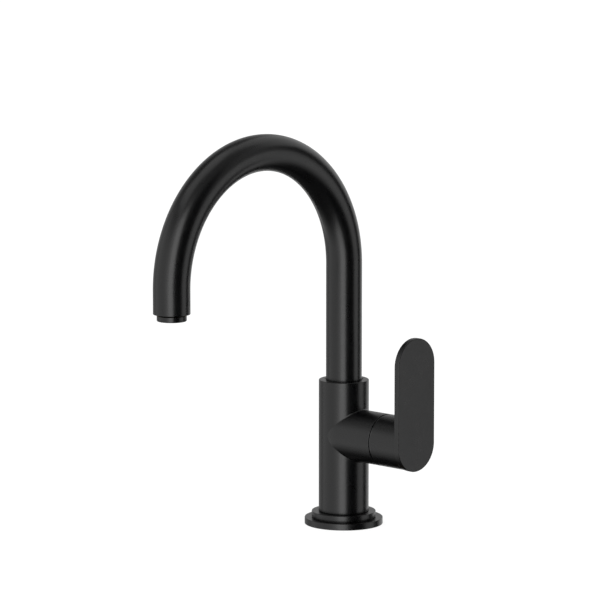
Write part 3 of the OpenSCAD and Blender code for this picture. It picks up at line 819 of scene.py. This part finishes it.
dome_low, dome_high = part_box("dome_ring")
pivot_x = arm_end - PIVOT_DEPTH
dome_r = math.hypot(PIVOT_DEPTH, arm_r)
first_angle = math.acos((GROOVE_END - pivot_x) / dome_r)
last_angle = math.acos((dome_high.x - pivot_x) / dome_r)
dome_angles = [first_angle + (last_angle - first_angle) * i / DOME_ROWS for i in range(DOME_ROWS + 1)]
dome_arc = [(pivot_x + dome_r * math.cos(a), dome_r * math.sin(a)) for a in dome_angles]
dome = new_piece("dome_ring_grooved", turned(
    [(dome_low.x, DOME_BORE), (dome_low.x, SPIGOT_RADIUS), (arm_end, SPIGOT_RADIUS),
     (arm_end, arm_r - GROOVE_DEPTH), (GROOVE_END, arm_r - GROOVE_DEPTH)] + dome_arc
    + [(dome_high.x, DOME_BORE)], TURNED_SIDES, along_x(arm_z)))
polish(dome, "fixed_body")
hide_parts("dome_ring")

# %% [markdown]
# ## Lever
# The lever is one casting: a round hub that caps the arm, and a flat paddle with half-round ends.
# The paddle's outer edge has a soft rounding that catches light along its whole length, and the
# paddle stands a little proud of the hub all round. The hub is hollowed by a ball, so that it can
# tilt over the dome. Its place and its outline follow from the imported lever's box.

# %% Sizes of the lever
PADDLE_THICKNESS = 4 * MM
FRONT_ROUNDING = 0.6 * MM
BACK_ROUNDING = 0.35 * MM
LIP_ROUNDING = 1.2 * MM
DOME_GAP = 0.2 * MM
HUB_LIP = 0.2 * MM
STEM_SLOT = 7.2 * MM
STEM_BACK = 8 * MM
STEM_CLEARANCE = 0.2 * MM
SCREW_BACK = 13 * MM
ROUND_ROWS = 40
BACK_ROWS = 3
FRONT_ROWS = 6
BALL_ROWS = 64

lever_face = lever_high.x
paddle_back = lever_face - PADDLE_THICKNESS
hub_start = pivot_x + math.sqrt((dome_r + DOME_GAP) ** 2 - (arm_r - HUB_LIP) ** 2)
paddle_top_centre = lever_high.z - paddle_r
print(f"hub from {hub_start / MM:.2f} mm, paddle from {paddle_back / MM:.1f} "
      f"to {lever_face / MM:.1f} mm, half width {paddle_r / MM:.2f} mm")

# %% [markdown]
# ## Paddle
# The paddle is a stack of the same outline, drawn in a little near its faces to round the edges.
# A Bevel modifier could round them too, but the stack rounds front and back differently.

# %% Paddle
def paddle_outline(inset, x):
    """Points of the paddle's outline, drawn in by inset, at this x."""
    radius = paddle_r - inset
    points = []
    for i in range(ROUND_ROWS + 1):
        a = math.pi * (1 + i / ROUND_ROWS)
        points.append((x, radius * math.cos(a), arm_z + radius * math.sin(a)))
    for i in range(ROUND_ROWS + 1):
        a = math.pi * i / ROUND_ROWS
        points.append((x, radius * math.cos(a), paddle_top_centre + radius * math.sin(a)))
    return points


def paddle_section():
    """How far the outline is drawn in through the paddle's thickness, from back to front."""
    section = []
    for i in range(BACK_ROWS + 1):
        a = math.radians(90 / BACK_ROWS * i)
        section.append((BACK_ROUNDING * (1 - math.sin(a)),
                        paddle_back + BACK_ROUNDING * (1 - math.cos(a))))
    for i in range(FRONT_ROWS + 1):
        a = math.radians(90 / FRONT_ROWS * i)
        section.append((FRONT_ROUNDING * (1 - math.cos(a)),
                        lever_face - FRONT_ROUNDING * (1 - math.sin(a))))
    return section


plate = bmesh.new()
loops = [[plate.verts.new(p) for p in paddle_outline(inset, x)] for inset, x in paddle_section()]
for loop, following in zip(loops, loops[1:]):
    for i in range(len(loop)):
        j = (i + 1) % len(loop)
        plate.faces.new((loop[i], loop[j], following[j], following[i]))
plate.faces.new(loops[0])
plate.faces.new(loops[-1])
bmesh.ops.recalc_face_normals(plate, faces=plate.faces)
print("paddle", len(plate.verts), "points,", len(plate.faces), "faces")

# %% [markdown]
# ## Hub, joined to the paddle and hollowed
# The hub ends halfway into the paddle, so the two join into one piece. A ball, a square slot for
# the stem and a hole for its clamping screw are then cut out of it.

# %% Hub, joined to the paddle and hollowed
hub_end = lever_face - PADDLE_THICKNESS / 2
lever = new_piece("lever_casting", turned(rounded([
    (hub_start, 0, 0), (hub_start, arm_r, LIP_ROUNDING), (hub_end, arm_r, 0), (hub_end, 0, 0)]),
    TURNED_SIDES, along_x(arm_z)))
combine(lever, "UNION", [plate])

ball_r = dome_r + DOME_GAP
ball_angles = [math.pi * i / BALL_ROWS for i in range(BALL_ROWS + 1)]
hollow = turned([(pivot_x + ball_r * math.cos(a), ball_r * math.sin(a)) for a in ball_angles],
                TURNED_SIDES, along_x(arm_z))
stem_end = lever_face - STEM_BACK + STEM_CLEARANCE
stem_slot = bmesh.new()
bmesh.ops.create_cube(stem_slot, size=1, matrix=(
    Matrix.Translation(((pivot_x + stem_end) / 2, 0, arm_z))
    @ Matrix.Diagonal((stem_end - pivot_x, STEM_SLOT, STEM_SLOT, 1))))
screw_way = turned([(-arm_r - PAST, 0), (-arm_r - PAST, SCREW_HOLE), (0, SCREW_HOLE), (0, 0)],
                   SCREW_SIDES, Matrix.Translation((lever_face - SCREW_BACK, 0, arm_z)))
combine(lever, "DIFFERENCE", [hollow, stem_slot, screw_way])
polish(lever, "handle")
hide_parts("lever")

# %% [markdown]
# ## Rules in Geometry Nodes
# Three shapes follow a rule: the gooseneck, the thread and the honeycomb. Each is a tree with named
# sizes as its inputs. It runs once, and its result is kept as a plain mesh.

# %% Helpers for rules
def new_rule(name, floats, whole=()):
    """Empty Geometry Nodes tree with named number inputs, a material input and a mesh output."""
    tree = bpy.data.node_groups.new(name, "GeometryNodeTree")
    for label in floats:
        tree.interface.new_socket(label, in_out="INPUT", socket_type="NodeSocketFloat")
    for label in whole:
        tree.interface.new_socket(label, in_out="INPUT", socket_type="NodeSocketInt")
    tree.interface.new_socket("Finish", in_out="INPUT", socket_type="NodeSocketMaterial")
    tree.interface.new_socket("Mesh", in_out="OUTPUT", socket_type="NodeSocketGeometry")
    return tree, add(tree, "NodeGroupInput").outputs


def close_rule(tree, geometry, given):
    """Ends a tree: smooth shading, real geometry and its material."""
    smooth = add(tree, "GeometryNodeSetShadeSmooth", {"Geometry": geometry})
    real = add(tree, "GeometryNodeRealizeInstances", {"Geometry": smooth})
    dressed = add(tree, "GeometryNodeSetMaterial", {"Geometry": real, "Material": given["Finish"]})
    add(tree, "NodeGroupOutput", {"Mesh": dressed})


def grow(name, tree, material, **sizes):
    """Runs a tree once with these sizes and returns its result as an object with a plain mesh."""
    obj = bpy.data.objects.new(name, bpy.data.meshes.new(name))
    scene.collection.objects.link(obj)
    rule = obj.modifiers.new("rule", "NODES")
    rule.node_group = tree
    for item in tree.interface.items_tree:
        if item.in_out == "INPUT":
            key = item.name.lower().replace(" ", "_")
            rule[item.identifier] = material if key == "finish" else sizes[key]
    ready = obj.evaluated_get(bpy.context.evaluated_depsgraph_get())
    mesh = bpy.data.meshes.new_from_object(ready)
    obj.modifiers.remove(rule)
    obj.data = mesh
    print(name, len(mesh.vertices), "points,", len(mesh.polygons), "faces")
    return obj


print("rules are ready to grow")

# %% [markdown]
# ## Gooseneck
# The spout is one tube bent round a former: a straight riser, half a circle, and a short straight
# end. Its centre line is a single formula of the length along it, so the rule draws that line and
# sweeps a circle along it. A Bezier curve could do it too, but its arch would only come close to a
# half circle.

# %% Gooseneck
def gooseneck_rule():
    """Tube swept along a riser, half a circle and a drop."""
    tree, given = new_rule(
        "gooseneck", ["Foot", "Riser", "Arch Radius", "Drop", "Tube Radius"], ["Rings", "Sides"])
    arch = add(tree, MATH, [given["Arch Radius"], math.pi], operation="MULTIPLY")
    before_drop = add(tree, MATH, [given["Riser"], arch], operation="ADD")
    length = add(tree, MATH, [before_drop, given["Drop"]], operation="ADD")
    share = add(tree, "GeometryNodeSplineParameter").outputs["Factor"]
    along = add(tree, MATH, [share, length], operation="MULTIPLY")
    # The angle stays 0 on the riser, grows on the arch and stays half a turn on the drop.
    past_riser = add(tree, MATH, [along, given["Riser"]], operation="SUBTRACT")
    bend = add(tree, MATH, [past_riser, given["Arch Radius"]], operation="DIVIDE")
    begun = add(tree, MATH, [bend, 0.0], operation="MAXIMUM")
    angle = add(tree, MATH, [begun, math.pi], operation="MINIMUM")
    # Y goes forward with the arch.
    cosine = add(tree, MATH, [angle], operation="COSINE")
    forward = add(tree, MATH, [cosine, 1.0], operation="SUBTRACT")
    y = add(tree, MATH, [given["Arch Radius"], forward], operation="MULTIPLY")
    # Z goes up the riser, over the arch and down the drop.
    risen = add(tree, MATH, [along, given["Riser"]], operation="MINIMUM")
    up = add(tree, MATH, [given["Foot"], risen], operation="ADD")
    sine = add(tree, MATH, [angle], operation="SINE")
    over = add(tree, MATH, [given["Arch Radius"], sine], operation="MULTIPLY")
    past_arch = add(tree, MATH, [along, before_drop], operation="SUBTRACT")
    down = add(tree, MATH, [past_arch, 0.0], operation="MAXIMUM")
    top = add(tree, MATH, [up, over], operation="ADD")
    z = add(tree, MATH, [top, down], operation="SUBTRACT")
    line = add(tree, "GeometryNodeCurvePrimitiveLine")
    points = add(tree, "GeometryNodeResampleCurve", {"Curve": line, "Count": given["Rings"]})
    place_at = add(tree, "ShaderNodeCombineXYZ", {"Y": y, "Z": z})
    path = add(tree, "GeometryNodeSetPosition", {"Geometry": points, "Position": place_at})
    circle = add(tree, "GeometryNodeCurvePrimitiveCircle", {
        "Resolution": given["Sides"], "Radius": given["Tube Radius"]})
    tube = add(tree, "GeometryNodeCurveToMesh", {"Curve": path, "Profile Curve": circle})
    close_rule(tree, tube, given)
    return tree


TUBE_RINGS = 220
TUBE_SIDES = 96

gooseneck = grow(
    "gooseneck", gooseneck_rule(), finishes["matte_black_paint"], foot=tube_low.z,
    riser=arch_z - tube_low.z, arch_radius=arch_r, drop=arch_z - outlet_z, tube_radius=tube_r,
    rings=TUBE_RINGS, sides=TUBE_SIDES)

# %% [markdown]
# ## Wall and rim of the gooseneck
# The swept skin gets its wall, grown inward so that the outside stays, and both ends get a small
# rounding.

# %% Wall and rim of the gooseneck
TUBE_WALL = 1.5 * MM
RIM_ROUNDING = 0.35 * MM
RIM_SEGMENTS = 3
RIM_ANGLE = math.radians(60)

wall = gooseneck.modifiers.new("wall", "SOLIDIFY")
wall.thickness = TUBE_WALL
wall.offset = -1
rim_bevel = gooseneck.modifiers.new("rim", "BEVEL")
rim_bevel.width = RIM_ROUNDING
rim_bevel.segments = RIM_SEGMENTS
rim_bevel.limit_method = "ANGLE"
rim_bevel.angle_limit = RIM_ANGLE
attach(gooseneck, "spout")
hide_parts("spout_tube")
print(f"wall {TUBE_WALL / MM} mm, bore radius {(tube_r - TUBE_WALL) / MM:.1f} mm")

# %% [markdown]
# ## Ring of the aerator
# The aerator screws into the outlet from below. A thin dark line separates its ring from the
# tube: the ring stops a little short of the tube's end and slopes in to the narrower neck that
# goes up inside. Below, its mouth is narrower than the seat of the core. It is turned, as the
# real one is.

# %% Aerator ring
RING_GAP = 1.0 * MM
RING_EDGE = 0.5 * MM
RING_CHAMFER = 0.6 * MM
NECK_RADIUS = 9.2 * MM
MOUTH_RADIUS = 7.2 * MM
MOUTH_HEIGHT = 2.2 * MM
CORE_SEAT_RADIUS = 8 * MM

ring_low, ring_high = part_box("aerator_housing")
ring_top = outlet_z - RING_GAP
mouth_top = ring_low.z + MOUTH_HEIGHT
aerator_ring = new_piece("aerator_ring", turned(rounded([
    (ring_low.z, MOUTH_RADIUS, 0), (ring_low.z, ring_high.x, RING_EDGE),
    (ring_top, ring_high.x, RING_EDGE / 3), (ring_top + RING_CHAMFER, NECK_RADIUS, 0),
    (ring_high.z, NECK_RADIUS, 0), (ring_high.z, CORE_SEAT_RADIUS, 0),
    (mouth_top, CORE_SEAT_RADIUS, 0), (mouth_top, MOUTH_RADIUS, 0)]),
    BORE_SIDES, Matrix.Translation((0, -spout_reach, 0))))
polish(aerator_ring, "spout")
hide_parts("aerator_housing")

# %% [markdown]
# ## Thread of the shank
# The brass shank under the deck carries a fine thread from end to end, on which the clamping nut
# runs. Four rows of points make one turn of it, two on the crest and two in the root, and each
# row climbs by one pitch on its way round, so the rows follow the helix by themselves. Points
# that would pass an end stay on it. Three more rows close the shank: in over the top, down the
# bore, and out again at the bottom. A Screw modifier could wind the thread too, but would leave
# its ends open.

# %% Thread rule
ROWS_IN_A_TURN = 4
CLOSING_ROWS = 3


def thread_rule():
    """Closed shank with a helical thread outside and a plain bore."""
    tree, given = new_rule(
        "thread", ["Bottom", "Top", "Crest", "Root", "Bore", "Pitch", "Chamfer"], ["Rows", "Sides"])
    columns = add(tree, MATH, [given["Sides"], 1], operation="ADD")
    rows = add(tree, MATH, [given["Rows"], CLOSING_ROWS + 1], operation="ADD")
    grid = add(tree, "GeometryNodeMeshGrid", {
        "Size X": 1.0, "Size Y": 1.0, "Vertices X": columns, "Vertices Y": rows})
    # The grid's X is the share of a turn, and its Y gives the number of the row.
    at = add(tree, "ShaderNodeSeparateXYZ", [add(tree, "GeometryNodeInputPosition")]).outputs
    turn = add(tree, MATH, [at["X"], 0.5], operation="ADD")
    row_share = add(tree, MATH, [at["Y"], 0.5], operation="ADD")
    last = add(tree, MATH, [given["Rows"], CLOSING_ROWS], operation="ADD")
    row_place = add(tree, MATH, [row_share, last], operation="MULTIPLY")
    row = add(tree, MATH, [row_place], operation="ROUND")
    # The helix climbs with row and turn, and is held between the shank's ends.
    row_lift = add(tree, MATH, [row, given["Pitch"]], operation="MULTIPLY")
    row_rise = add(tree, MATH, [row_lift, ROWS_IN_A_TURN], operation="DIVIDE")
    turn_rise = add(tree, MATH, [turn, given["Pitch"]], operation="MULTIPLY")
    climb = add(tree, MATH, [row_rise, turn_rise], operation="ADD")
    start = add(tree, MATH, [given["Bottom"], given["Pitch"]], operation="SUBTRACT")
    free = add(tree, MATH, [start, climb], operation="ADD")
    lifted = add(tree, MATH, [free, given["Bottom"]], operation="MAXIMUM")
    held = add(tree, MATH, [lifted, given["Top"]], operation="MINIMUM")
    # The last two rows lie at the bottom again.
    low_from = add(tree, MATH, [given["Rows"], 1.5], operation="ADD")
    back_down = add(tree, MATH, [row, low_from], operation="GREATER_THAN")
    above = add(tree, MATH, [held, given["Bottom"]], operation="SUBTRACT")
    fall = add(tree, MATH, [above, back_down], operation="MULTIPLY")
    z = add(tree, MATH, [held, fall], operation="SUBTRACT")
    # Two rows of a turn lie in the root, and the chamfer takes the crest away near an end.
    phase = add(tree, MATH, [row, ROWS_IN_A_TURN], operation="MODULO")
    in_root = add(tree, MATH, [phase, 1.5], operation="GREATER_THAN")
    depth = add(tree, MATH, [given["Crest"], given["Root"]], operation="SUBTRACT")
    cut = add(tree, MATH, [depth, in_root], operation="MULTIPLY")
    threaded = add(tree, MATH, [given["Crest"], cut], operation="SUBTRACT")
    from_bottom = add(tree, MATH, [z, given["Bottom"]], operation="SUBTRACT")
    from_top = add(tree, MATH, [given["Top"], z], operation="SUBTRACT")
    to_end = add(tree, MATH, [from_bottom, from_top], operation="MINIMUM")
    end_radius = add(tree, MATH, [given["Crest"], given["Chamfer"]], operation="SUBTRACT")
    tip = add(tree, MATH, [end_radius, to_end], operation="ADD")
    outer = add(tree, MATH, [threaded, tip], operation="MINIMUM")
    # The first two closing rows lie on the bore.
    bore_from = add(tree, MATH, [given["Rows"], 0.5], operation="ADD")
    past_top = add(tree, MATH, [row, bore_from], operation="GREATER_THAN")
    bore_to = add(tree, MATH, [given["Rows"], 2.5], operation="ADD")
    before_close = add(tree, MATH, [row, bore_to], operation="LESS_THAN")
    in_bore = add(tree, MATH, [past_top, before_close], operation="MULTIPLY")
    wall = add(tree, MATH, [outer, given["Bore"]], operation="SUBTRACT")
    inward = add(tree, MATH, [wall, in_bore], operation="MULTIPLY")
    radius = add(tree, MATH, [outer, inward], operation="SUBTRACT")
    # Turn and radius give the place round the axis.
    angle = add(tree, MATH, [turn, math.tau], operation="MULTIPLY")
    cosine = add(tree, MATH, [angle], operation="COSINE")
    sine = add(tree, MATH, [angle], operation="SINE")
    x = add(tree, MATH, [radius, cosine], operation="MULTIPLY")
    y = add(tree, MATH, [radius, sine], operation="MULTIPLY")
    place_at = add(tree, "ShaderNodeCombineXYZ", [x, y, z])
    wound = add(tree, "GeometryNodeSetPosition", {"Geometry": grid, "Position": place_at})
    joined = add(tree, "GeometryNodeMergeByDistance", {"Geometry": wound, "Distance": SEAM})
    close_rule(tree, joined, given)
    return tree


print("rows in one turn of the thread:", ROWS_IN_A_TURN)

# %% [markdown]
# ## Shank with its thread
# The rows start one pitch below the shank's lower end, so it takes one turn more than fits to
# reach the upper end all the way round.

# %% Threaded shank
THREAD_PITCH = 1.5 * MM
THREAD_DEPTH = 0.65 * MM
THREAD_SIDES = 72
SHANK_RADIUS = 15 * MM
SHANK_HOLE_RADIUS = 12 * MM
SHANK_CHAMFER = 1 * MM

shank_low, shank_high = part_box("mounting_shank")
turns = math.ceil((shank_high.z - shank_low.z) / THREAD_PITCH) + 1
shank = grow(
    "threaded_shank", thread_rule(), finishes["brass"], bottom=shank_low.z, top=shank_high.z,
    crest=SHANK_RADIUS, root=SHANK_RADIUS - THREAD_DEPTH, bore=SHANK_HOLE_RADIUS,
    pitch=THREAD_PITCH, chamfer=SHANK_CHAMFER, rows=turns * ROWS_IN_A_TURN, sides=THREAD_SIDES)
closed(shank)
polish(shank, "fixed_body", crisp=25)
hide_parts("mounting_shank")

# %% [markdown]
# ## Honeycomb of the aerator
# Inside the outlet ring sits a small plastic plate with six-sided holes, which break the water up
# and draw air in. The holes follow a hexagonal lattice: the rule skews a square grid into it,
# places a six-sided prism on each point inside the rim, and cuts them all out of the plate. They
# could be cut one by one, but as a rule their spacing is a single number.

# %% Honeycomb
LATTICE = 9
CELL_PITCH = 2.3 * MM
CELL_WALL = 0.3 * MM
CELL_LIMIT = 6.6 * MM
CELL_SIDES = 6
PLATE_SIDES = 96


def honeycomb_rule():
    """Round plate with six-sided holes on a hexagonal lattice."""
    tree, given = new_rule(
        "honeycomb", ["Low", "High", "Radius", "Pitch", "Cell", "Limit", "Across", "Overlap"],
        ["Sides"])
    thickness = add(tree, MATH, [given["High"], given["Low"]], operation="SUBTRACT")
    both_ends = add(tree, MATH, [given["High"], given["Low"]], operation="ADD")
    middle = add(tree, MATH, [both_ends, 0.5], operation="MULTIPLY")
    plate = add(tree, "GeometryNodeMeshCylinder", {
        "Vertices": given["Sides"], "Radius": given["Radius"], "Depth": thickness})
    lattice = add(tree, "GeometryNodeMeshGrid", {
        "Size X": LATTICE - 1.0, "Size Y": LATTICE - 1.0, "Vertices X": LATTICE, "Vertices Y": LATTICE})
    # Each row moves on by half a cell, and rows stand closer than cells in a row.
    position = add(tree, "GeometryNodeInputPosition")
    at = add(tree, "ShaderNodeSeparateXYZ", [position]).outputs
    half_row = add(tree, MATH, [at["Y"], 0.5], operation="MULTIPLY")
    moved_on = add(tree, MATH, [at["X"], half_row], operation="ADD")
    x = add(tree, MATH, [moved_on, given["Pitch"]], operation="MULTIPLY")
    row_height = add(tree, MATH, [at["Y"], math.sqrt(3) / 2], operation="MULTIPLY")
    y = add(tree, MATH, [row_height, given["Pitch"]], operation="MULTIPLY")
    place_at = add(tree, "ShaderNodeCombineXYZ", {"X": x, "Y": y})
    skewed = add(tree, "GeometryNodeSetPosition", {"Geometry": lattice, "Position": place_at})
    # A prism goes on every point that lies inside the limit, and all are cut out at once.
    reach = add(tree, MATH, [thickness, given["Overlap"]], operation="ADD")
    prism = add(tree, "GeometryNodeMeshCylinder", {
        "Vertices": CELL_SIDES, "Radius": given["Cell"], "Depth": reach})
    from_axis = add(tree, "ShaderNodeVectorMath", [position], operation="LENGTH").outputs["Value"]
    inside = add(tree, MATH, [from_axis, given["Limit"]], operation="LESS_THAN")
    cells = add(tree, "GeometryNodeInstanceOnPoints", {
        "Points": skewed, "Instance": prism, "Selection": inside,
        "Rotation": (0.0, 0.0, math.pi / CELL_SIDES)})
    real = add(tree, "GeometryNodeRealizeInstances", {"Geometry": cells})
    pierced = add(tree, "GeometryNodeMeshBoolean", {"Mesh 1": plate, "Mesh 2": real},
                  operation="DIFFERENCE")
    seat = add(tree, "ShaderNodeCombineXYZ", {"Y": given["Across"], "Z": middle})
    moved = add(tree, "GeometryNodeTransform", {"Geometry": pierced, "Translation": seat})
    close_rule(tree, moved, given)
    return tree


core_low, core_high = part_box("aerator_core")
honeycomb = grow(
    "aerator_honeycomb", honeycomb_rule(), finishes["grey_plastic"], low=core_low.z,
    high=core_high.z, radius=core_high.x, pitch=CELL_PITCH,
    cell=(CELL_PITCH - CELL_WALL) / math.sqrt(3), limit=CELL_LIMIT, across=-spout_reach,
    overlap=2 * PAST, sides=PLATE_SIDES)
closed(honeycomb)
polish(honeycomb, "spout")
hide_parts("aerator_core")
